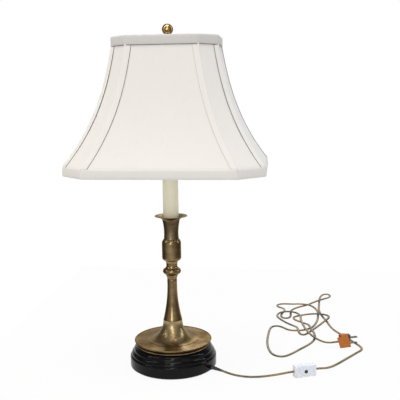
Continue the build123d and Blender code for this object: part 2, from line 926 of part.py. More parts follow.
def finial():
    z0 = finial_z
    top = z0 + finial_h
    centre = top - finial_ball_r
    neck = centre - sqrt(finial_ball_r**2 - finial_neck_r**2)
    bore = stud_r + stud_clear
    side_r = finial_ball_r * cos(radians(finial_arc_angle))
    side_z = centre + finial_ball_r * sin(radians(finial_arc_angle))
    edges = [
        Line((bore, z0), (finial_foot_r, z0)),
        Line((finial_foot_r, z0), (finial_foot_r, z0 + finial_foot_h)),
        ThreePointArc(
            (finial_foot_r, z0 + finial_foot_h),
            bulged((finial_foot_r, z0 + finial_foot_h), (finial_neck_r, neck), finial_neck_share),
            (finial_neck_r, neck),
        ),
        ThreePointArc((finial_neck_r, neck), (side_r, side_z), (0, top)),
        Line((0, top), (0, z0 + finial_bore_h)),
        Line((0, z0 + finial_bore_h), (bore, z0 + finial_bore_h)),
        Line((bore, z0 + finial_bore_h), (bore, z0)),
    ]
    return revolve(Plane.XZ * make_face(edges), Axis.Z)


# Inline switch: local X runs along the cord, local -Y is the face with the button
def switch_place():
    return Pos(switch_at[0], switch_at[1], 0) * Rot(0, 0, switch_angle)


def switch_shell():
    solid = Pos(0, 0, switch_w / 2) * Box(switch_l, switch_t, switch_w)
    solid = fillet(solid.edges(), switch_round)
    inner = (switch_l - 2 * switch_wall, switch_t - 2 * switch_wall, switch_w - 2 * switch_wall)
    return solid - Pos(0, 0, switch_w / 2) * Box(*inner)


def across(r, y0, y1, x, z):
    """Round bar along local Y."""
    return Pos(x, (y0 + y1) / 2, z) * Cylinder(r, y1 - y0, rotation=(90, 0, 0))


def switch_front():
    face = -switch_t / 2
    mid = switch_w / 2
    half = switch_shell() & block(-switch_l, switch_l, -switch_t, 0, -overrun, switch_w + overrun)
    ring_r = button_r + button_clear + button_ring_w
    half += across(ring_r, face - button_ring_h, face + switch_wall / 2, 0, mid)
    for side in (-1, 1):
        x = side * case_screw_x
        half += across(post_r, face + switch_wall / 2, 0, x, mid)
        half -= across(case_screw_r + case_screw_clear, face + switch_wall, overrun, x, mid)
    half -= across(button_r + button_clear, face - switch_t, face + switch_wall + overrun, 0, mid)
    return switch_place() * half


def switch_back():
    mid = switch_w / 2
    back = switch_t / 2
    half = switch_shell() & block(-switch_l, switch_l, 0, switch_t, -overrun, switch_w + overrun)
    for side in (-1, 1):
        x = side * case_screw_x
        half += across(post_r, 0, back - switch_wall / 2, x, mid)
        half -= across(case_screw_r + case_screw_clear, -overrun, back + overrun, x, mid)
        head_seat = back - case_screw_head_t
        half -= across(case_screw_head_r + case_screw_clear, head_seat, back + overrun, x, mid)
    return switch_place() * half


def switch_button():
    face = -switch_t / 2
    mid = switch_w / 2
    inside = face + switch_wall + button_clear
    button = across(button_r, face - button_out, inside, 0, mid)
    button += across(button_flange_r, inside, inside + button_flange_t, 0, mid)
    button += across(button_stem_r, inside + button_flange_t, -button_travel - button_clear, 0, mid)
    return switch_place() * button


def switch_screws():
    mid = switch_w / 2
    back = switch_t / 2
    solids = []
    tip = -back + switch_wall + overrun
    neck = back - case_screw_head_t
    for side in (-1, 1):
        screw = across(case_screw_r, tip, neck, side * case_screw_x, mid)
        screw += across(case_screw_head_r, neck, back, side * case_screw_x, mid)
        solids.append(switch_place() * screw)
    return solids


def switch_contacts():
    """Two brass leaves over the button's stem, one on each wire."""
    y0 = button_travel / 2
    y1 = switch_t / 2 - switch_wall
    mid = switch_w / 2
    solids = []
    for side in (-1, 1):
        z = mid + side * leaf_z
        leaf = block(-leaf_l / 2, leaf_l / 2, y0, y0 + leaf_t, z - leaf_w / 2, z + leaf_w / 2)
        leg = block(leaf_l / 2 - leaf_t, leaf_l / 2, y0, y1, z - leaf_w / 2, z + leaf_w / 2)
        solids.append(switch_place() * (leaf + leg))
    return solids


# Plug: local X runs from the cord to the blades
def plug_place():
    return Pos(plug_at[0], plug_at[1], 0) * Rot(0, 0, plug_angle)


def plug_body():
    outline = Polyline(
        (0, plug_nose_cut),
        (plug_nose, 0),
        (plug_l, 0),
        (plug_l, plug_w),
        (plug_nose, plug_w),
        (0, plug_w - plug_nose_cut),
        close=True,
    )
    solid = Plane.XZ * extrude(make_face(outline), plug_t / 2, both=True)
    solid = fillet(solid.edges().filter_by(Axis.Y, reverse=True), plug_round)
    for side, width in zip((-1, 1), (blade_w, blade_wide_w)):
        low = plug_w / 2 + side * blade_pitch / 2 - blade_t / 2
        slot = block(plug_l - blade_root_l, plug_l + overrun, -width / 2, width / 2, low, low + blade_t)
        solid -= slot
    return plug_place() * solid


def plug_blades():
    solids = []
    for side, width in zip((-1, 1), (blade_w, blade_wide_w)):
        z = plug_w / 2 + side * blade_pitch / 2
        tip = plug_l + blade_l
        half = width / 2
        outline = Polyline(
            (plug_l - blade_root_l, -half),
            (tip - blade_tip, -half),
            (tip, blade_tip - half),
            (tip, half - blade_tip),
            (tip - blade_tip, half),
            (plug_l - blade_root_l, half),
            close=True,
        )
        face = make_face(outline) - Pos(tip - blade_hole_back, 0, 0) * Circle(blade_hole_r)
        solids.append(plug_place() * Pos(0, 0, z - blade_t / 2) * extrude(face, blade_t))
    return solids


def plug_tag():
    """Card with pointed corners in front of the plug, folded over its top and down its back."""
    near = plug_t / 2 + tag_gap
    corner_points = [(ahead * plug_l, up * plug_w) for ahead, up in tag_leaf_shares]
    leaf = make_face(Polyline(*corner_points, close=True))
    front = Plane.XZ.offset(near) * extrude(leaf, tag_t)
    top = plug_w + tag_gap
    x0, x1 = (share * plug_l for share in tag_strap_shares)
    back = block(x0, x1, near, near + tag_t, plug_w * tag_back_low_share, top + tag_t)
    fold = block(x0, x1, -near, near, top, top + tag_t)
    return plug_place() * (front + back + fold)


# Cord: the route is a hand-chosen list of points on its centre line
def cord_inside():
    """From the bushing's outer face under the base and up through the pipe to the socket."""
    points = [(flange_x, 0, exit_h), (0, 0, exit_h), (0, 0, body_z)]
    return Rot(0, 0, exit_angle) * swept(points, pipe_z - exit_h, cord_d / 2)


def least_gap(path):
    """Smallest space between one place of a cord and any place further on than its own bend."""
    count = int(path.length / cord_d)
    places = [path @ (i / count) for i in range(count + 1)]
    gaps = [abs(p - q) for i, p in enumerate(places) for q in places[i + cord_own_steps :]]
    return min(gaps) - cord_d


def free_cord(name, points):
    """Tube along the route; prints its radii, its volume against section times length, and its least gap."""
    radii = bend_radii(points)
    path = FilletPolyline(*points, radius=radii)
    solid = bent_wire(points, cord_d / 2)
    section = Circle(cord_d / 2).area
    print(name, "radii", [round(r, 1) for r in radii])
    print(name, "volume", round(solid.volume), "section times length", round(section * path.length))
    print(name, "length", round(path.length), "least gap to itself", round(least_gap(path), 2))
    return solid


def cord_base_to_switch():
    return free_cord("cord_base_to_switch", cord_to_switch)


def cord_switch_to_plug():
    return free_cord("cord_switch_to_plug", cord_to_plug)


def write(name, solids):
    """One STEP file for a node; a list becomes one group of separate solids."""
    shape = Compound(children=list(solids)) if isinstance(solids, list) else solids
    shape.label = name
    export_step(shape, f"parts/{name}.step")


nodes = {
    "felt_pad": felt_pad,
    "turned_base": turned_base,
    "cord_bushing": cord_bushing,
    "ballast": ballast,
    "pipe_washer": pipe_washer,
    "pipe_nut": pipe_nut,
    "threaded_pipe": threaded_pipe,
    "foot_plate": foot_plate,
    "foot_dish": foot_dish,
    "trumpet": trumpet,
    "stem_cone": stem_cone,
    "knob": knob,
    "collar": collar,
    "drip_cup": drip_cup,
    "candle_sleeve": candle_sleeve,
    "sleeve_cap": sleeve_cap,
    "harp_saddle": harp_saddle,
    "harp": harp,
    "harp_ferrule_left": lambda: harp_ferrule(-1),
    "harp_ferrule_right": lambda: harp_ferrule(1),
    "harp_stud": harp_stud,
    "socket_cap": socket_cap,
    "socket_shell": socket_shell,
    "socket_liner": socket_liner,
    "socket_body": socket_body,
    "terminal_screws": terminal_screws,
    "screw_shell": screw_shell,
    "centre_contact": centre_contact,
    "bulb_base": bulb_base,
    "bulb_glass": bulb_glass,
    "shade_top_ring": lambda: wire_ring(0, shade_top_z - hem - ring_wire_r),
    "shade_bottom_ring": lambda: wire_ring(1, shade_bottom_z + hem + ring_wire_r),
    "shade_ribs": lambda: [rib(k) for k in range(8)],
    "shade_spider": shade_spider,
    "shade_lining": shade_lining,
    "rib_strips": rib_strips,
    "top_band": lambda: shade_band(0, bell_top_z, top_band_h),
    "bottom_band": lambda: shade_band(1, shade_bottom_z, bottom_band_h),
    "finial_washer": finial_washer,
    "finial": finial,
    "switch_front": switch_front,
    "switch_back": switch_back,
    "switch_button": switch_button,
    "switch_screws": switch_screws,
    "switch_contacts": switch_contacts,
    "plug_body": plug_body,
    "plug_blades": plug_blades,
    "plug_tag": plug_tag,
    "cord_inside": cord_inside,
    "cord_base_to_switch": cord_base_to_switch,
    "cord_switch_to_plug": cord_switch_to_plug,
}
panel_names = ("right_back", "back", "left_back", "left", "left_front", "front", "right_front", "right")
for k, side in enumerate(panel_names):
    nodes[f"shade_panel_{side}"] = lambda k=k: shade_panel(k)

os.makedirs("parts", exist_ok=True)
for name, make in nodes.items():
    write(name, make())
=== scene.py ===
# Candle lamp with shade: fabric, metal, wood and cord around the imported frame, in metres.
import json
import math

import bpy
from mathutils import Matrix, Vector


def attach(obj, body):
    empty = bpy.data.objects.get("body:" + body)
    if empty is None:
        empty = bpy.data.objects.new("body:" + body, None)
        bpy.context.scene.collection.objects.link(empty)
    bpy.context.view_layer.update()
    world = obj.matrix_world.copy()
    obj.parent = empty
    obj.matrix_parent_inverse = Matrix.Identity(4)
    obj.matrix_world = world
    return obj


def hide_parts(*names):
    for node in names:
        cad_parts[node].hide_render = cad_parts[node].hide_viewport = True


MM = 0.001
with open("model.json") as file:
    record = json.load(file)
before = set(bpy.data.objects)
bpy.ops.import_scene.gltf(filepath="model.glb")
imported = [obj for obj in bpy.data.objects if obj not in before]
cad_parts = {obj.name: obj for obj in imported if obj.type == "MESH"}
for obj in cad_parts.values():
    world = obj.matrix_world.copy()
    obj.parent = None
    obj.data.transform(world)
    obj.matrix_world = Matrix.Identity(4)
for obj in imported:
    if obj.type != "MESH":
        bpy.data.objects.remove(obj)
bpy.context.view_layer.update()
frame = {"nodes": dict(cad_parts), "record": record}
scene = bpy.context.scene
scene.view_settings.view_transform = "Standard"


# Camera: measured from the photograph
CAMERA_TURN, CAMERA_PITCH, CAMERA_ROLL = (math.radians(v) for v in (6.4, 8.71, -0.7))
CAMERA_PLACE = Vector((0.2147, -1.3810, 0.5597))
CAMERA_LENS = 62.8
CAMERA_SENSOR = 36.0


def place_camera():
    """A long view from the front, turned a little to the lamp's right and down."""
    turn, pitch, roll = CAMERA_TURN, CAMERA_PITCH, CAMERA_ROLL
    right = Vector((math.cos(turn), math.sin(turn), 0))
    level = Vector((-math.sin(turn), math.cos(turn), 0))
    ahead = level * math.cos(pitch) - Vector((0, 0, 1)) * math.sin(pitch)
    up = right.cross(ahead)
    rolled_right = right * math.cos(roll) + up * math.sin(roll)
    rolled_up = up * math.cos(roll) - right * math.sin(roll)
    camera = bpy.data.objects.new("camera", bpy.data.cameras.new("camera"))
    scene.collection.objects.link(camera)
    turned = Matrix((rolled_right, rolled_up, -ahead)).transposed().to_4x4()
    camera.matrix_world = Matrix.Translation(CAMERA_PLACE) @ turned
    camera.data.sensor_width = CAMERA_SENSOR
    camera.data.lens = CAMERA_LENS
    scene.camera = camera


# Node helpers
def put(tree, kind, inputs=None, **props):
    """A shader node; an input is a value, or (node, output) for a link."""
    made = tree.nodes.new("ShaderNode" + kind)
    for name, value in props.items():
        setattr(made, name, value)
    wire(tree, made, inputs or {})
    return made


def wire(tree, made, inputs):
    """Sets a node's inputs, or links them."""
    for name, value in inputs.items():
        if isinstance(value, tuple) and isinstance(value[0], bpy.types.Node):
            tree.links.new(value[0].outputs[value[1]], made.inputs[name])
        else:
            made.inputs[name].default_value = value


def ramp(tree, source, stops):
    """Colours along a factor: stops are (place, (r, g, b))."""
    made = put(tree, "ValToRGB", {"Fac": source})
    places = made.color_ramp.elements
    while len(places) < len(stops):
        places.new(0.5)
    for element, (at, colour) in zip(places, stops):
        element.position = at
        element.color = (*colour, 1)
    return (made, "Color")


def grey_ramp(tree, source, low, high, low_value=0.0, high_value=1.0):
    """A value that goes from one level to another between two places of its source."""
    made = put(tree, "MapRange", {"Value": source, "From Min": low, "From Max": high,
                                  "To Min": low_value, "To Max": high_value})
    return (made, "Result")


def noise(tree, where, scale, detail=3.0, stretch=None, roughness=0.5):
    """Noise at a place, which is stretched first when a scale for each axis is given."""
    if stretch:
        where = (put(tree, "Mapping", {"Vector": where, "Scale": stretch}), "Vector")
    made = put(tree, "TexNoise", {"Vector": where, "Scale": scale, "Detail": detail,
                                  "Roughness": roughness})
    return (made, "Fac")


def calc(tree, operation, a, b=0.0):
    """A sum or product of two values or links."""
    made = put(tree, "Math", operation=operation)
    for socket, value in zip(made.inputs, (a, b)):
        if isinstance(value, tuple):
            tree.links.new(value[0].outputs[value[1]], socket)
        else:
            socket.default_value = value
    return (made, "Value")


def bumped(tree, height, distance, strength=1.0, under=None):
    """A relief of a height, laid over another where one is given."""
    inputs = {"Height": height, "Distance": distance, "Strength": strength}
    if under:
        inputs["Normal"] = under
    return (put(tree, "Bump", inputs), "Normal")


def tinted(tree, colour, factor, other):
    """Colour mixed with another by a factor."""
    made = put(tree, "MixRGB")
    for name, value in (("Fac", factor), ("Color1", colour), ("Color2", other)):
        if isinstance(value, tuple) and isinstance(value[0], bpy.types.Node):
            wire(tree, made, {name: value})
        elif name == "Fac":
            made.inputs[name].default_value = value
        else:
            made.inputs[name].default_value = (*value, 1)
    return (made, "Color")


def new_material(name):
    material = bpy.data.materials.new(name)
    material.use_nodes = True
    tree = material.node_tree
    return material, tree, tree.nodes["Principled BSDF"]


def object_place(tree):
    return (put(tree, "TexCoord"), "Object")


def cloth_place(tree):
    """Place on the flat cloth in metres: across the piece and along it."""
    return (put(tree, "Attribute", attribute_name="cloth", attribute_type="GEOMETRY"), "Vector")


# Materials
def silk(name, colour, slub_dark=0.07, weave=0.00004):
    """Slubbed silk: a fine plain weave with short thick threads along the cloth."""
    material, tree, shader = new_material(name)
    place = cloth_place(tree)
    slub = grey_ramp(tree, noise(tree, place, 1.0, 2.0, (620, 36, 1)), 0.60, 0.74)
    fine = noise(tree, place, 1.0, 2.0, (2600, 160, 1))
    cross = noise(tree, place, 1.0, 2.0, (90, 2400, 1))
    cloud = noise(tree, place, 26.0, 2.0)
    darker = tuple(c * (1 - slub_dark) for c in colour)
    tone = tinted(tree, colour, slub, darker)
    tone = tinted(tree, tone, calc(tree, "MULTIPLY", fine, 0.10), tuple(c * 0.86 for c in colour))
    tone = tinted(tree, tone, calc(tree, "MULTIPLY", cloud, 0.10), tuple(c * 0.90 for c in colour))
    wire(tree, shader, {"Base Color": tone, "Roughness": 0.62, "Specular IOR Level": 0.35,
                        "Sheen Weight": 0.22, "Sheen Roughness": 0.45})
    relief = bumped(tree, calc(tree, "ADD", fine, cross), weave)
    relief = bumped(tree, slub, 0.00009, 0.8, relief)
    wire(tree, shader, {"Normal": relief})
    return material


TONE_PLACES = (0.36, 0.52, 0.68)


def brass(name, dark, middle, light, rough=(0.19, 0.30), rings=0.07, fade=None):
    """Aged brass, spun and lacquered: clouds of patina, fine turning rings and spots.

    A fade is (radius, radius, tones): the brass turns into those three tones between the two radii.
    """
    material, tree, shader = new_material(name)
    place = object_place(tree)
    patina = noise(tree, place, 22.0, 4.0, None, 0.6)
    streak = noise(tree, place, 1.0, 3.0, (16, 16, 260))
    spot = grey_ramp(tree, noise(tree, place, 240.0, 3.0), 0.60, 0.78)
    mixed = calc(tree, "ADD", calc(tree, "MULTIPLY", patina, 0.85), calc(tree, "MULTIPLY", streak, 0.15))
    tone = ramp(tree, mixed, tuple(zip(TONE_PLACES, (dark, middle, light))))
    if fade:
        flat = put(tree, "Mapping", {"Vector": place, "Scale": (1, 1, 0)})
        radius = put(tree, "VectorMath", {0: (flat, "Vector")}, operation="LENGTH")
        near, far, tones = fade
        outer = ramp(tree, mixed, tuple(zip(TONE_PLACES, tones)))
        tone = tinted(tree, tone, grey_ramp(tree, (radius, "Value"), near, far), outer)
    tone = tinted(tree, tone, calc(tree, "MULTIPLY", spot, 0.35), dark)
    wear = grey_ramp(tree, patina, 0.35, 0.7, rough[1], rough[0])
    wire(tree, shader, {"Base Color": tone, "Metallic": 1.0, "Roughness": wear, "Coat Weight": 0.08,
                        "Coat Roughness": 0.08, "Specular Tint": (0.47, 0.44, 0.40, 1)})
    lines = noise(tree, place, 1.0, 2.0, (30, 30, 3200))
    relief = bumped(tree, lines, 0.00003, rings)
    relief = bumped(tree, noise(tree, place, 60.0, 2.0), 0.0004, 0.02, relief)
    wire(tree, shader, {"Normal": relief})
    return material


def lacquered_wood():
    """Black lacquer over turned wood: glossy, with faint turning rings, dust and rubbed spots."""
    material, tree, shader = new_material("black_lacquer")
    place = object_place(tree)
    rub = grey_ramp(tree, noise(tree, place, 90.0, 4.0), 0.55, 0.75)
    tone = tinted(tree, (0.0042, 0.0042, 0.0050), rub, (0.012, 0.010, 0.009))
    wire(tree, shader, {"Base Color": tone, "Roughness": grey_ramp(tree, rub, 0, 1, 0.16, 0.34),
                        "Specular IOR Level": 0.11, "Coat Weight": 0.05, "Coat Roughness": 0.05})
    rings = noise(tree, place, 1.0, 2.0, (8, 8, 900))
    relief = bumped(tree, rings, 0.00006, 0.12)
    relief = bumped(tree, noise(tree, place, 45.0, 2.0), 0.0006, 0.03, relief)
    wire(tree, shader, {"Normal": relief})
    return material


def plastic(name, colour, other, rough, grain=0.00002):
    """Moulded plastic: fine grain, slight clouds of wear in colour and gloss."""
    material, tree, shader = new_material(name)
    place = object_place(tree)
    cloud = noise(tree, place, 55.0, 3.0)
    tone = tinted(tree, colour, grey_ramp(tree, cloud, 0.4, 0.75), other)
    gloss = grey_ramp(tree, cloud, 0.3, 0.7, rough, rough + 0.14)
    wire(tree, shader, {"Base Color": tone, "Roughness": gloss})
    wire(tree, shader, {"Normal": bumped(tree, noise(tree, place, 2400.0, 2.0), grain)})
    return material


def sleeve_plastic():
    """Candle sleeve: cream with a faint lengthwise grain in its colour and relief."""
    material, tree, shader = new_material("cream_sleeve")
    place = object_place(tree)
    grain = noise(tree, place, 1.0, 3.0, (420, 420, 18))
    tone = tinted(tree, (0.96, 0.88, 0.68), grey_ramp(tree, grain, 0.35, 0.75), (0.91, 0.82, 0.62))
    wire(tree, shader, {"Base Color": tone, "Roughness": 0.42, "Subsurface Weight": 0.15,
                        "Subsurface Scale": 0.004})
    wire(tree, shader, {"Normal": bumped(tree, grain, 0.00008, 0.6)})
    return material


def metal(name, colour, rough, other=None):
    """Plain metal with cloudy stains in its colour and gloss."""
    material, tree, shader = new_material(name)
    place = object_place(tree)
    cloud = noise(tree, place, 120.0, 4.0)
    stained = other or tuple(c * 0.7 for c in colour)
    tone = tinted(tree, colour, grey_ramp(tree, cloud, 0.4, 0.7), stained)
    wire(tree, shader, {"Base Color": tone, "Metallic": 1.0,
                        "Roughness": grey_ramp(tree, cloud, 0.3, 0.7, rough, rough + 0.15)})
    wire(tree, shader, {"Normal": bumped(tree, noise(tree, place, 900.0, 2.0), 0.00003, 0.6)})
    return material


def felt():
    """Green felt: fluffy, dull, with pale and dark fibres."""
    material, tree, shader = new_material("green_felt")
    place = object_place(tree)
    fluff = noise(tree, place, 1500.0, 4.0)
    tone = tinted(tree, (0.030, 0.055, 0.035), fluff, (0.055, 0.085, 0.055))
    wire(tree, shader, {"Base Color": tone, "Roughness": 0.95, "Sheen Weight": 0.5})
    wire(tree, shader, {"Normal": bumped(tree, fluff, 0.0003)})
    return material


def wood_fibre_card(name, colour, other):
    """Card with fibres and a soft surface."""
    material, tree, shader = new_material(name)
    place = object_place(tree)
    fibre = noise(tree, place, 900.0, 4.0, None, 0.7)
    cloud = noise(tree, place, 130.0, 3.0)
    tone = tinted(tree, colour, grey_ramp(tree, fibre, 0.45, 0.75), other)
    tone = tinted(tree, tone, calc(tree, "MULTIPLY", cloud, 0.35), tuple(c * 0.65 for c in colour))
    wire(tree, shader, {"Base Color": tone, "Roughness": 0.7})
    wire(tree, shader, {"Normal": bumped(tree, fibre, 0.00012)})
    return material


def glass_white():
    """Opal glass of the bulb, slightly cloudy."""
    material, tree, shader = new_material("opal_glass")
    place = object_place(tree)
    cloud = noise(tree, place, 70.0, 2.0)
    tone = tinted(tree, (0.86, 0.85, 0.82), cloud, (0.80, 0.79, 0.76))
    wire(tree, shader, {"Base Color": tone, "Roughness": 0.22, "Subsurface Weight": 0.3,
                        "Subsurface Scale": 0.003})
    wire(tree, shader, {"Normal": bumped(tree, cloud, 0.0001, 0.3)})
    return material


def cord_skin(name, colour, edge):
    """Clear gold insulation over twisted strands: fine slanted lines, soft gloss, dirty patches."""
    material, tree, shader = new_material(name)
    place = object_place(tree)
    strand = noise(tree, place, 1400.0, 2.0)
    patch = noise(tree, place, 16.0, 3.0)
    tone = tinted(tree, colour, grey_ramp(tree, strand, 0.42, 0.66), edge)
    tone = tinted(tree, tone, grey_ramp(tree, patch, 0.42, 0.60, 0.0, 0.85), edge)
    wire(tree, shader, {"Base Color": tone, "Roughness": 0.40, "Coat Weight": 0.10, "Coat Roughness": 0.2,
                        "Metallic": 0.25})
    wire(tree, shader, {"Normal": bumped(tree, strand, 0.00012, 0.5)})
    return material


WHITE_SILK = (0.805, 0.775, 0.74)
# The top band's silk is a darker grey copy of the shade silk: painted shade.
SHADED_TOP_BAND_SILK = (0.62, 0.595, 0.57)
materials = {
    "felt": felt(),
    "black_lacquered_wood": lacquered_wood(),
    "black_plastic": plastic("dark_plastic", (0.022, 0.022, 0.024), (0.04, 0.04, 0.042), 0.38),
    "cast_iron": metal("cast_iron", (0.10, 0.10, 0.10), 0.62, (0.16, 0.12, 0.09)),
    "zinc_steel": metal("zinc_steel", (0.55, 0.56, 0.58), 0.34),
    "aged_brass": brass("aged_brass", (0.11, 0.066, 0.026), (0.27, 0.182, 0.082), (0.42, 0.31, 0.155)),
    "cream_sleeve": sleeve_plastic(),
    "insulating_card": wood_fibre_card("grey_card", (0.16, 0.14, 0.12), (0.22, 0.20, 0.17)),
    "bare_aluminium": metal("bare_aluminium", (0.68, 0.68, 0.70), 0.3),
    "contact_brass": metal("contact_brass", (0.60, 0.44, 0.20), 0.26),
    "white_glass": glass_white(),
    "white_wire": plastic("painted_wire", (0.74, 0.73, 0.70), (0.64, 0.62, 0.58), 0.4),
    "shade_lining": silk("lining_satin", (0.80, 0.79, 0.77), 0.02, 0.00002),
    "shade_fabric": silk("shade_silk", WHITE_SILK),
    "white_plastic": plastic("white_plastic", (0.86, 0.88, 0.97), (0.83, 0.85, 0.95), 0.34, 0.000008),
    "brown_plastic": plastic("brown_plastic", (0.05, 0.028, 0.016), (0.075, 0.045, 0.026), 0.35),
    "plug_brass": metal("plug_metal", (0.09, 0.08, 0.065), 0.36, (0.19, 0.175, 0.145)),
    "orange_card": wood_fibre_card("orange_card", (0.56, 0.165, 0.022), (0.66, 0.23, 0.045)),
    "gold_cord": cord_skin("gold_cord", (0.37, 0.235, 0.080), (0.070, 0.062, 0.038)),
}
polished = brass("polished_brass", (0.16, 0.09, 0.03), (0.46, 0.31, 0.12), (0.66, 0.49, 0.22),
                 (0.14, 0.28), 0.3)
SATIN = ((0.13, 0.084, 0.040), (0.24, 0.168, 0.088), (0.34, 0.252, 0.142))
satin = brass("satin_brass", *SATIN, (0.28, 0.38))
rubbed = brass("rubbed_brass", (0.26, 0.18, 0.085), (0.46, 0.345, 0.18), (0.62, 0.50, 0.31), (0.26, 0.36),
               fade=(0.022, 0.046, SATIN))
own_brass = {"finial": polished, "finial_washer": polished, "trumpet": rubbed, "foot_dish": satin,
             "foot_plate": satin, "drip_cup": satin}
# A darker copy of the shade silk for the top band: painted shade.
shaded_top_band_silk = silk("shaded_top_band_silk", SHADED_TOP_BAND_SILK)
# Seam threads: a dark one for painted shadow lines along raised edges, and a grey one for a fainter
# painted shade.
painted_shadow_seam = plastic("shadow_line_thread", (0.045, 0.038, 0.028), (0.085, 0.075, 0.058), 0.7)
faint_shade_seam = plastic("faint_shade_seam", (0.50, 0.47, 0.42), (0.60, 0.57, 0.52), 0.7)

slots = {part["node"]: part["material_slot"] for part in frame["record"]["subparts"]}


# Cords: the line of each is a smooth spline through its route's control points
CORD_WIDTH = 5.6 * MM
CORD_THICK = 3.4 * MM
CORD_TO_SWITCH = [
    (83.32, -33.66, 7.6), (96, -38.8, 6.6), (112, -46, 3.2), (132, -57, 1.8), (157, -64, 1.8),
    (182, -63, 2.6), (205, -61.5, 5.6), (222, -62.5, 9.6), (236, -59.1, 11.8), (248.6, -53.87, 12),
]
CORD_TO_PLUG = [
    (291.4, -36.13, 12), (302.5, -31.5, 11.4), (315, -20, 7.6), (327, -1, 3.2), (340, 18, 1.8),
    (354, 38, 1.8), (371, 62, 1.8), (388, 87, 1.8), (400, 103, 1.8), (400, 121, 1.8), (387, 150, 1.8),
    (369, 190, 1.8), (353, 218, 1.8), (343, 248, 1.8), (337, 290, 1.8), (326, 338, 1.8), (322, 382, 1.8),
    (326, 430, 1.8), (329, 476, 1.8), (335, 508, 1.8), (344, 526, 1.8), (357, 527, 1.8), (361, 512, 1.8),
    (357, 494, 2.4), (344, 470, 6.1), (318, 443, 6.1), (293, 420, 1.8), (266, 398, 1.8), (250, 372, 1.8),
    (250, 344, 1.8), (249, 320, 1.8), (241, 308, 1.8), (230, 310, 1.8), (225, 323, 1.8), (227, 345, 1.8),
    (236, 368, 1.8), (232, 390, 1.8), (217, 401, 1.8), (215, 420, 1.8), (232, 430, 1.8), (256, 424, 2.8),
    (278, 418, 6.1), (303, 408, 6.1), (318, 384, 1.8), (319, 348, 1.8), (316, 308, 1.8), (309, 270, 1.8),
    (296, 236, 1.8), (270, 218, 1.8), (243, 219, 1.8), (229, 240, 1.8), (216, 250, 1.8), (203, 243, 1.8),
    (198, 222, 1.8), (195, 186, 1.8), (193, 140, 1.8), (196, 94, 1.8), (206, 58, 1.8), (227, 47, 1.8),
    (246, 66, 1.8), (268, 100, 1.8), (290, 132, 1.8), (302, 164, 1.8), (302, 190, 6.1), (295, 218, 6.1),
    (292, 248, 6.1), (285, 270, 1.8), (270, 285, 1.8), (257, 300, 1.8), (256, 320, 1.8), (272, 332, 1.8),
    (292, 334, 5.2), (310, 336, 6.1), (330, 334, 6.1), (344, 322, 6.1), (342, 302, 6.1), (329, 277, 6.1),
    (312, 250, 1.8), (297, 222, 1.8), (285, 198, 1.8), (276, 188, 1.8), (267, 195, 2.8), (265, 210, 6.1),
    (263, 231, 6.1), (252, 252, 3.0), (238, 270, 3.0), (222, 289, 6.1), (214, 313, 6.1), (221, 340, 6.1),
    (243, 352, 6.1), (265, 342, 6.1), (274, 318, 6.1), (273, 290, 6.1), (276, 258, 6.1), (281, 226, 6.1),
    (289, 192, 6.1), (299, 164, 6.1), (311, 143, 6.3), (321, 126, 8.6), (331, 115.5, 11.8),
    (342, 115.2, 13.4), (353.66, 119.64, 14),
]


def flat_cord_section():
    """Outline of the two wires' insulation, side by side with a groove between them."""
    half, core = CORD_WIDTH / 2, CORD_THICK / 2
    middle = half - core
    groove = 0.62 * core
    right = [(middle + core * math.cos(a), core * math.sin(a))
             for a in [math.radians(d) for d in range(-90, 91, 30)]]
    left = [(-x, y) for x, y in reversed(right)]
    outline = right + [(0, groove)] + left + [(0, -groove)]
    curve = bpy.data.curves.new("cord_section", "CURVE")
    curve.dimensions = "2D"
    spline = curve.splines.new("POLY")
    spline.points.add(len(outline) - 1)
    for point, (x, y) in zip(spline.points, outline):
        point.co = (x, y, 0, 1)
    spline.use_cyclic_u = True
    section = bpy.data.objects.new("cord_section", curve)
    scene.collection.objects.link(section)
    section.hide_render = True
    section.hide_viewport = True
    return section


def make_cord(name, route, section, material):
    """A cord of the flat section along a smooth spline through its route's control points."""
    curve = bpy.data.curves.new(name, "CURVE")
    curve.dimensions = "3D"
    spline = curve.splines.new("NURBS")
    spline.points.add(len(route) - 1)
    for point, place in zip(spline.points, route):
        point.co = (*[v * MM for v in place], 1)
    spline.order_u = 3
    spline.use_endpoint_u = True
    spline.resolution_u = 10
    curve.bevel_mode = "OBJECT"
    curve.bevel_object = section
    curve.use_fill_caps = True
    curve.twist_mode = "Z_UP"
    curve.materials.append(material)
    made = bpy.data.objects.new(name, curve)
    scene.collection.objects.link(made)
    return made


def cord_length(cord):
    """Length of a cord's own line, read from its spline without the section."""
    plain = cord.data.copy()
    plain.bevel_object = None
    holder = bpy.data.objects.new("line", plain)
    line = bpy.data.meshes.new_from_object(holder)
    places = [v.co.copy() for v in line.vertices]
    bpy.data.objects.remove(holder)
    return sum((b - a).length for a, b in zip(places, places[1:]))


# Mesh helpers
def link_mesh(name, points, faces, material, body, cloth=None):
    """A smooth mesh that rides on a body; cloth gives each point's place on the flat piece."""
    mesh = bpy.data.meshes.new(name)
    mesh.from_pydata([tuple(p) for p in points], [], faces)
    mesh.materials.append(material)
    mesh.polygons.foreach_set("use_smooth", [True] * len(mesh.polygons))
    if cloth:
        attribute = mesh.attributes.new("cloth", "FLOAT_VECTOR", "POINT")
        attribute.data.foreach_set("vector", [v for place in cloth for v in (*place, 0.0)])
    mesh.update()
    made = bpy.data.objects.new(name, mesh)
    scene.collection.objects.link(made)
    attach(made, body)
    return made


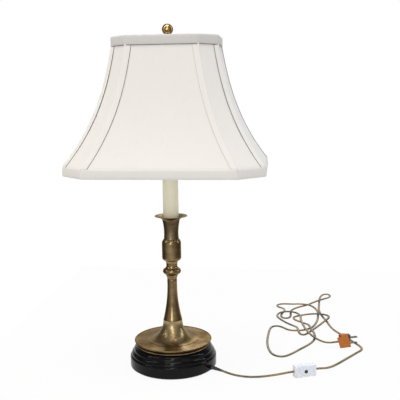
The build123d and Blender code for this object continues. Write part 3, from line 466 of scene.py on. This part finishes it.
class Solid:
    """Closed grids gathered into one mesh."""

    def __init__(self):
        self.points, self.faces, self.cloth = [], [], []

    def grid(self, rows, cloth, close_u=False, close_v=False):
        """Faces between rows of points; u runs along a row and v over the rows."""
        start, wide, high = len(self.points), len(rows[0]), len(rows)
        for row, flat in zip(rows, cloth):
            self.points += row
            self.cloth += flat
        for v in range(high if close_v else high - 1):
            for u in range(wide if close_u else wide - 1):
                a, b = start + v * wide, start + (v + 1) % high * wide
                w = (u + 1) % wide
                self.faces.append((a + u, a + w, b + w, b + u))
        return start, wide, high

    def slab(self, outer, inner, cloth):
        """A sheet with thickness: an outer grid, an inner grid behind it and a rim round both."""
        start, wide, high = self.grid(outer, cloth)
        back, _, _ = self.grid([row[::-1] for row in inner], [row[::-1] for row in cloth])
        rim = [(v, 0) for v in range(high)]
        rim += [(high - 1, u) for u in range(1, wide)]
        rim += [(v, wide - 1) for v in range(high - 2, -1, -1)]
        rim += [(0, u) for u in range(wide - 2, 0, -1)]
        for (v0, u0), (v1, u1) in zip(rim, rim[1:] + rim[:1]):
            self.faces.append((start + v0 * wide + u0, start + v1 * wide + u1,
                               back + v1 * wide + wide - 1 - u1, back + v0 * wide + wide - 1 - u0))


def wave(a, b, seed):
    """Smooth wobble between -1 and 1 of two coordinates, the same on each run."""
    broad = math.sin(a * 1.0 + 2.1 * seed) * math.sin(b * 1.3 + 1.7 * seed)
    slanted = 0.6 * math.sin(a * 2.3 - b * 1.1 + 0.9 * seed)
    fine = 0.4 * math.sin(a * 3.7 + b * 2.9 + 3.3 * seed)
    return (broad + slanted + fine) / 2


# Shade: the outline of the frame, as the solids have it
SHADE_TOP, BELL_TOP, BELL_LOW, SHADE_LOW = (v * MM for v in (668.5, 648.0, 423.5, 405.0))
# Half length, half width and corner cut at the top, and how much each grows towards the bottom
TOP_HALF_LENGTH, TOP_HALF_WIDTH, TOP_CUT = 103, 77, 34
GROWN_LENGTH, GROWN_WIDTH, GROWN_CUT = 90, 65, 15
CUT_SPREAD = 2 - math.sqrt(2)
STRAIGHT_SHARE, CURVED_SHARE, FLARE = 0.45, 0.55, 2.6
HEM = 0.8 * MM
BAND_EDGE = BELL_TOP + 2.0 * MM
UNDER_BAND = 1.6 * MM
PANEL_ROWS, PANEL_COLUMNS, CUT_COLUMNS = 76, 44, 28
PANEL_EDGE, PANEL_SAG, PANEL_PUCKER, PANEL_THICK = (v * MM for v in (0.15, 1.1, 0.16, 0.7))
PUCKER_ACROSS, PUCKER_ALONG = 0.021, 0.13
PANEL_NAMES = ("right_back", "back", "left_back", "left", "left_front", "front", "right_front", "right")


def corners(z, out):
    """The eight corners of the shade's outline at a height, moved out by a distance."""
    share = min(max((BELL_TOP - z) / (BELL_TOP - BELL_LOW), 0.0), 1.0)
    opened = STRAIGHT_SHARE * share + CURVED_SHARE * share**FLARE
    a = (TOP_HALF_LENGTH + GROWN_LENGTH * opened) * MM + out
    b = (TOP_HALF_WIDTH + GROWN_WIDTH * opened) * MM + out
    c = (TOP_CUT + GROWN_CUT * opened) * MM + out * CUT_SPREAD
    quarter = [(a, b - c), (a - c, b)]
    ring = quarter + [(-x, y) for x, y in reversed(quarter)]
    return [Vector((x, y, z)) for x, y in ring + [(-x, -y) for x, y in ring]]


def heights(z0, z1, count):
    """Evenly spaced heights from one to another."""
    return [z0 + (z1 - z0) * i / count for i in range(count + 1)]


def on_panel(k, z, t, out):
    """A point on panel k at a height, a share of the way from its corner k to the next."""
    ring = corners(z, out)
    return ring[k].lerp(ring[(k + 1) % 8], t)


def panel_grids(k, seed):
    """Outer and inner points of a panel, a little slack between the ribs, with its flat places."""
    levels = heights(SHADE_TOP - HEM, SHADE_LOW + HEM, PANEL_ROWS)
    columns = CUT_COLUMNS if k % 2 == 0 else PANEL_COLUMNS
    outer, inner, cloth = [], [], []
    along = 0.0
    for i, z in enumerate(levels):
        corner, after = corners(z, 0)[k], corners(z, 0)[(k + 1) % 8]
        wide = (after - corner).length
        edge = PANEL_EDGE / wide
        if i:
            along += (corner - previous).length
        previous = corner
        free = min(max((BELL_TOP - z) / (BELL_TOP - BELL_LOW), 0), 1)
        belly = math.sin(math.pi * free) ** 0.8 if 0 < free < 1 else 0.0
        front, back, flat = [], [], []
        for j in range(columns + 1):
            t = edge + (1 - 2 * edge) * j / columns
            across = math.sin(math.pi * t)
            sag = -PANEL_SAG * belly * across
            wobble = wave(t * wide / PUCKER_ACROSS, along / PUCKER_ALONG, seed)
            pucker = PANEL_PUCKER * across * wobble * (0.35 + belly)
            front.append(on_panel(k, z, t, sag + pucker))
            back.append(on_panel(k, z, t, sag + pucker - PANEL_THICK))
            flat.append((t * wide, along))
        outer.append(front)
        inner.append(back)
        cloth.append(flat)
    return outer, inner, cloth


def make_panel(k):
    """One fabric panel between two ribs, in place of its solid."""
    outer, inner, cloth = panel_grids(k, k + 1)
    body = Solid()
    body.slab(outer, inner, cloth)
    name = "panel_" + PANEL_NAMES[k]
    made = link_mesh(name, body.points, body.faces, materials["shade_fabric"], "shade",
                     body.cloth)
    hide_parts("shade_panel_" + PANEL_NAMES[k])
    return made


STRIP_LAP, STRIP_REACH = 1.5 * MM, 11.5 * MM
STRIP_CROWN, STRIP_BACK, STRIP_FALL, STRIP_WAVE = (v * MM for v in (0.75, 0.15, 0.35, 0.10))
STRIP_STEPS = (-1.0, -0.5, 0.0, 0.15, 0.4, 0.7, 0.9, 1.0)
STRIP_ROWS = 60


def reaches_after(k):
    """Whether the strip over corner k reaches onto the panel after the corner, or the one before."""
    return k % 4 in (0, 1)


def strip_point(k, z, reach, out):
    """A point of the strip over corner k, at a distance from the corner towards its wide side."""
    ring = corners(z, out)
    side = 1 if reaches_after(k) else -1
    towards = ring[(k + side) % 8] if reach > 0 else ring[(k - side) % 8]
    return ring[k] + (towards - ring[k]).normalized() * abs(reach)


def make_strips():
    """Folded strips over the ribs' seams, each from a little past its corner onto one panel."""
    body = Solid()
    levels = heights(BAND_EDGE + UNDER_BAND, BELL_LOW - UNDER_BAND, STRIP_ROWS)
    for k in range(8):
        outer, inner, cloth = [], [], []
        along = 0.0
        for i, z in enumerate(levels):
            if i:
                along += (corners(z, 0)[k] - corners(levels[i - 1], 0)[k]).length
            front, back, flat = [], [], []
            for step in STRIP_STEPS:
                reach = step * (STRIP_REACH if step > 0 else STRIP_LAP)
                crown = STRIP_CROWN - STRIP_FALL * abs(step) ** 5
                crown += STRIP_WAVE * wave(reach / 0.004, along / 0.017, k)
                front.append(strip_point(k, z, reach, crown))
                back.append(strip_point(k, z, reach, STRIP_BACK))
                flat.append((reach + k * 0.05, along))
            if not reaches_after(k):
                front, back, flat = front[::-1], back[::-1], flat[::-1]
            outer.append(front)
            inner.append(back)
            cloth.append(flat)
        body.slab(outer, inner, cloth)
    made = link_mesh("strips_over_ribs", body.points, body.faces, materials["shade_fabric"], "shade",
                     body.cloth)
    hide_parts("rib_strips")
    return made


# Points along each side of a ring, by panel
SIDE_PARTS = (9, 34, 9, 24) * 2
BAND_CLOTH = 1.0 * MM
CORNER_FOLDS = 0.012


def rounded_ring(z, out, cut=5.0 * MM, fan=5):
    """The shade's outline with softened corners, as a closed row of points."""
    ring = corners(z, out)
    row = []
    for k in range(8):
        here, before, after = ring[k], ring[k - 1], ring[(k + 1) % 8]
        start = here + (before - here).normalized() * cut
        end = here + (after - here).normalized() * cut
        for i in range(fan + 1):
            t = i / fan
            row.append(start * (1 - t) ** 2 + here * 2 * t * (1 - t) + end * t**2)
        parts = SIDE_PARTS[k]
        far = after + (here - after).normalized() * cut
        for i in range(1, parts):
            row.append(end.lerp(far, i / parts))
    return row


def make_band(name, node, profile, wrinkles, seed, material):
    """A folded band round the shade; its profile is (out, height) over the outside and back inside."""
    base = rounded_ring(profile[0][1], 0)
    lengths = [0.0]
    for a, b in zip(base, base[1:]):
        lengths.append(lengths[-1] + (b - a).length)
    turns = corner_runs(base, lengths)
    rows, cloth = [], []
    along = 0.0
    for i, (out, z, free) in enumerate(profile):
        if i:
            along += math.hypot(out - profile[i - 1][0], z - profile[i - 1][1])
        ring = rounded_ring(z, out)
        inner = rounded_ring(z, out - BAND_CLOTH)
        row = []
        for place, behind, run in zip(ring, inner, lengths):
            corner = max(math.exp(-((run - turn) / CORNER_FOLDS) ** 2) for turn in turns)
            fold = wrinkles * free * (wave(run / 0.011, z / 0.008, seed) * (0.25 + corner))
            row.append(place + (place - behind).normalized() * fold)
        rows.append(row)
        cloth.append([(run, along) for run in lengths])
    body = Solid()
    body.grid(rows, cloth, close_u=True, close_v=True)
    made = link_mesh(name, body.points, body.faces, material, "shade", body.cloth)
    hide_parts(node)
    return made


def corner_runs(base, lengths):
    """How far round the ring each of the eight corners is."""
    step = []
    for k in range(8):
        target = corners(base[0].z, 0)[k]
        step.append(min(range(len(base)), key=lambda i: (base[i] - target).length))
    return [lengths[i] for i in step]


def band_profile(edge, fold, soft):
    """Outside from the edge over the panels to the fold round the wire ring, and back inside."""
    up = 1 if fold > edge else -1
    z = lambda d: edge + up * d * MM
    high = abs(fold - edge) / MM
    outside = [(0.20, 0.0, 0), (0.75, 0.1, 0.1), (1.15, 0.9, 0.4), (1.45, 3.0, 0.8), (1.6, high * 0.45, 1),
               (1.65, high - 5.0, 1), (1.5, high - 2.6, 0.8), (1.0 - soft * 0.5, high - 1.1, 0.5),
               (0.1 - soft, high - 0.30, 0.3), (-1.4, high, 0.2), (-3.2, high - 0.25, 0.1),
               (-4.4, high - 1.3, 0), (-4.9, high - 3.2, 0), (-4.9, high - 6.5, 0)]
    inside = [(-4.65, high - 6.5, 0), (-4.65, high - 3.2, 0), (-4.1, high - 1.6, 0), (-2.9, high - 0.6, 0),
              (-1.4, high - 0.45, 0), (0.0, high - 0.75, 0), (0.45, high - 1.6, 0), (0.9, high - 3.2, 0),
              (0.9, high * 0.4, 0), (0.7, 3.0, 0), (0.35, 1.2, 0)]
    return [(out * MM, z(d), free) for out, d, free in outside + inside]


LINING_OUT, LINING_IN, LINING_FOLD, LINING_ROUND = (v * MM for v in (-5.6, -5.9, 0.18, 3))
LINING_END = SHADE_LOW + 6.5 * MM
LINING_FOLDS = 120


def make_lining():
    """Thin lining inside the ribs, lightly gathered."""
    levels = heights(BELL_TOP, LINING_END, 60)
    outer, inner, cloth = [], [], []
    along = 0.0
    for i, z in enumerate(levels):
        ring = rounded_ring(z, LINING_OUT, LINING_ROUND, 3)
        back = rounded_ring(z, LINING_IN, LINING_ROUND, 3)
        lengths = [0.0]
        for a, b in zip(ring, ring[1:]):
            lengths.append(lengths[-1] + (b - a).length)
        if i:
            along += (corners(z, 0)[0] - corners(levels[i - 1], 0)[0]).length
        shape = [LINING_FOLD * math.sin(run / lengths[-1] * 2 * math.pi * LINING_FOLDS) for run in lengths]
        outer.append([p + (p - q).normalized() * s for p, q, s in zip(ring, back, shape)])
        inner.append([q + (p - q).normalized() * s for p, q, s in zip(ring, back, shape)])
        cloth.append([(run, along) for run in lengths])
    body = Solid()
    rows = outer + inner[::-1]
    places = cloth + cloth[::-1]
    body.grid(rows, places, close_u=True, close_v=True)
    made = link_mesh("lining", body.points, body.faces, materials["shade_lining"], "shade",
                     body.cloth)
    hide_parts("shade_lining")
    return made


# Dark lines mark the seams at the strips' edges and stand in for the shadow gaps there: painted shadow.
# Grey lines are a fainter painted shade at edges that face the light.
SHADOW_LINE_SEAMS = ((0, 1, 0.40), (1, 1, 0.36), (3, 1, 0.40), (4, 1, 0.52), (5, 1, 0.36), (7, 1, 0.40),
              (0, -1, 0.60), (3, -1, 0.60))
FAINT_SHADE_SEAMS = ((2, 1, 0.26), (6, 1, 0.26), (7, -1, 0.30), (4, -1, 0.30))
SEAM_BESIDE, SEAM_OUT, UNDER_EDGE, EDGE_OUT = (v * MM for v in (0.2, 0.32, 0.25, 0.95))
EDGE_RADIUS = 0.34


def make_seams():
    """Thin threads along the strips' edges and under the top band, painted as shadow lines where those
    edges stand proud.

    A line is (corner, side, radius): side 1 is the strip's wide side and -1 its short one. The threads
    of two corners and of two short sides are grey, a fainter painted shade where those edges face the
    light.
    """
    levels = heights(BAND_EDGE + UNDER_BAND, BELL_LOW - UNDER_BAND, STRIP_ROWS)
    for name, material, lines in (("seam_lines_shadow", painted_shadow_seam, SHADOW_LINE_SEAMS),
                                  ("seam_lines_faint_shade", faint_shade_seam, FAINT_SHADE_SEAMS)):
        curve = bpy.data.curves.new(name, "CURVE")
        curve.dimensions = "3D"
        curve.bevel_depth = 1.0 * MM
        curve.bevel_resolution = 2
        curve.use_fill_caps = True
        curve.materials.append(material)
        for k, side, radius in lines:
            spline = curve.splines.new("POLY")
            spline.points.add(len(levels) - 1)
            reach = STRIP_REACH + SEAM_BESIDE if side > 0 else -STRIP_LAP - SEAM_BESIDE
            for point, z in zip(spline.points, levels):
                point.co = (*strip_point(k, z, reach, SEAM_OUT), 1)
                point.radius = radius
        # A dark ring under the top band's edge: a painted shadow line where the band stands proud.
        if material is painted_shadow_seam:
            spline = curve.splines.new("POLY")
            ring = rounded_ring(BAND_EDGE - UNDER_EDGE, EDGE_OUT)
            spline.points.add(len(ring) - 1)
            for point, place in zip(spline.points, ring):
                point.co = (*place, 1)
                point.radius = EDGE_RADIUS
            spline.use_cyclic_u = True
        made = bpy.data.objects.new(name, curve)
        scene.collection.objects.link(made)
        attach(made, "shade")


# Other pieces
RELIEF_RADII = (4.9, 4.8, 4.2, 3.9, 3.95, 3.5, 3.55, 3.15, 2.9)
RELIEF_SHARES = (0.0, 0.08, 0.12, 0.3, 0.42, 0.48, 0.66, 0.74, 1.0)
RELIEF_LENGTH = 24
RELIEF_SIDES = 24


def make_strain_relief(cord_points):
    """Tapered rubber sleeve round the cord where it leaves the base."""
    start, end = Vector(cord_points[0]) * MM, Vector(cord_points[1]) * MM
    aim = Vector(cord_points[2]) * MM * 0.45 + end * 0.55
    end = start + (aim - start).normalized() * RELIEF_LENGTH * MM
    ahead = (end - start).normalized()
    side = ahead.cross(Vector((0, 0, 1))).normalized()
    up = side.cross(ahead)
    rows, cloth = [], []
    for share, radius in zip(RELIEF_SHARES, RELIEF_RADII):
        middle = start.lerp(end, share) - Vector((0, 0, 1)) * 0.4 * MM * share**2
        flat = 1 - 0.25 * share
        row = []
        for i in range(RELIEF_SIDES):
            a = 2 * math.pi * i / RELIEF_SIDES
            row.append(middle + side * math.cos(a) * radius * MM + up * math.sin(a) * radius * flat * MM)
        rows.append(row)
        cloth.append([(i * MM, share) for i in range(RELIEF_SIDES)])
    body = Solid()
    first, wide, high = body.grid(rows, cloth, close_u=True)
    body.faces.append(tuple(first + i for i in reversed(range(wide))))
    body.faces.append(tuple(first + (high - 1) * wide + i for i in range(wide)))
    return link_mesh("strain_relief", body.points, body.faces, materials["black_plastic"], "lamp")


# Scene round the object
def ray_mask(tree):
    """1 for rays that see the background: from the camera, and through or off gloss and glass."""
    path = put(tree, "LightPath")
    seen = calc(tree, "MAXIMUM", (path, "Is Camera Ray"), (path, "Is Glossy Ray"))
    return calc(tree, "MAXIMUM", seen, (path, "Is Transmission Ray"))


FLOOR_LEFT, FLOOR_RIGHT, FLOOR_FRONT, FLOOR_BACK = -0.42, 0.66, -0.28, 0.80
FLOOR_GLOW_SHARE = 0.93


def make_floor():
    """A small pale floor, mostly white to what sees it, so that it keeps a faint shadow."""
    mesh = bpy.data.meshes.new("floor")
    ends = ((FLOOR_LEFT, FLOOR_FRONT), (FLOOR_RIGHT, FLOOR_FRONT), (FLOOR_RIGHT, FLOOR_BACK),
            (FLOOR_LEFT, FLOOR_BACK))
    mesh.from_pydata([(x, y, 0) for x, y in ends], [], [(0, 1, 2, 3)])
    floor = bpy.data.objects.new("floor", mesh)
    scene.collection.objects.link(floor)
    material = bpy.data.materials.new("white_floor")
    material.use_nodes = True
    tree = material.node_tree
    tree.nodes.clear()
    plain = put(tree, "BsdfDiffuse", {"Color": (0.86, 0.86, 0.86, 1)})
    glow = put(tree, "Emission", {"Color": (1, 1, 1, 1), "Strength": 1.0})
    share = calc(tree, "MULTIPLY", ray_mask(tree), FLOOR_GLOW_SHARE)
    mixed = put(tree, "MixShader", {"Fac": share, 1: (plain, "BSDF"), 2: (glow, "Emission")})
    put(tree, "OutputMaterial", {"Surface": (mixed, "Shader")})
    mesh.materials.append(material)


def make_world():
    """White backdrop behind the object; for light, a pale sky; in metal, the backdrop and a dim room."""
    world = bpy.data.worlds.new("studio")
    scene.world = world
    world.use_nodes = True
    tree = world.node_tree
    tree.nodes.clear()
    path = put(tree, "LightPath")
    seen = calc(tree, "MAXIMUM", (path, "Is Camera Ray"), (path, "Is Transmission Ray"))
    place = put(tree, "TexCoord")
    split = put(tree, "SeparateXYZ", {"Vector": (place, "Generated")})
    behind = grey_ramp(tree, (split, "Y"), 0.62, 0.82)
    backdrop = calc(tree, "MULTIPLY", (path, "Is Glossy Ray"), behind)
    seen = calc(tree, "MAXIMUM", seen, backdrop)
    level = grey_ramp(tree, (split, "Z"), -0.15, 0.20, 0.74, 0.34)
    room = grey_ramp(tree, (split, "Y"), -0.95, -0.20, 0.62, 0.12)
    level = put(tree, "Mix", {"Factor": (path, "Is Glossy Ray"), "A": level, "B": room})
    sky = put(tree, "Background", {"Color": (0.97, 0.985, 1.0, 1), "Strength": (level, "Result")})
    white = put(tree, "Background", {"Color": (1, 1, 1, 1), "Strength": 1.0})
    mixed = put(tree, "MixShader", {"Fac": seen, 1: (sky, "Background"), 2: (white, "Background")})
    put(tree, "OutputWorld", {"Surface": (mixed, "Shader")})


LAMP_AIM = 0.35
LAMPS = (
    ("front", 5, 1.62, 1.45, (0.16, 1.8), 8.6, (1.0, 0.965, 0.91)),
    ("left", -72, 1.62, 1.30, (0.11, 1.7), 12.0, (1.0, 0.94, 0.84)),
    ("right", 102, 1.30, 1.50, (0.10, 1.7), 11.0, (0.88, 0.94, 1.0)),
    ("low", -4, 0.62, 2.6, (0.9, 0.7), 4.6, (1.0, 0.98, 0.94)),
    ("back", 180, 1.6, 2.4, (1.0, 1.0), 3.0, (1.0, 1.0, 1.0), 0.45),
    ("top", 0, 2.7, 0.3, (1.3, 1.3), 5.0, (1.0, 0.99, 0.97)),
)


def lamp(name, azimuth, height, distance, size, radiance, colour, aim=LAMP_AIM):
    """Soft panel light at an azimuth from the lamp's front, aimed at a height on the lamp's axis."""
    data = bpy.data.lights.new(name, "AREA")
    data.shape = "RECTANGLE"
    data.size, data.size_y = size
    data.energy = radiance * math.pi * size[0] * size[1]
    data.color = colour
    light = bpy.data.objects.new(name, data)
    scene.collection.objects.link(light)
    a = math.radians(azimuth)
    light.location = (math.sin(a) * distance, -math.cos(a) * distance, height)
    light.rotation_mode = "QUATERNION"
    light.rotation_quaternion = (Vector((0, 0, aim)) - light.location).to_track_quat("-Z", "Y")
    light.visible_camera = False


place_camera()
make_world()
make_floor()
for one in LAMPS:
    lamp(*one)

section = flat_cord_section()
cord_one = make_cord("cord_to_switch", CORD_TO_SWITCH, section, materials["gold_cord"])
cord_two = make_cord("cord_to_plug", CORD_TO_PLUG, section, materials["gold_cord"])
for cord, node in ((cord_one, "cord_base_to_switch"), (cord_two, "cord_switch_to_plug")):
    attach(cord, "lamp")
    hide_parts(node)
relief = make_strain_relief(CORD_TO_SWITCH)
nodes = frame["nodes"]
cord_length(cord_one)
cord_length(cord_two)

for name, thing in nodes.items():
    wanted = materials.get(slots.get(name))
    wanted = own_brass.get(name, wanted)
    if wanted:
        for slot in thing.material_slots:
            slot.material = wanted

for k in range(8):
    make_panel(k)
make_strips()
# Top band in the darker silk copy, painted shade; bottom band in the shade's own silk.
make_band("band_top", "top_band", band_profile(BAND_EDGE, SHADE_TOP, 0.0), 0.25 * MM, 2, shaded_top_band_silk)
make_band("band_bottom", "bottom_band", band_profile(BELL_LOW, SHADE_LOW, 0.35), 0.45 * MM, 5,
          materials["shade_fabric"])
make_lining()
make_seams()
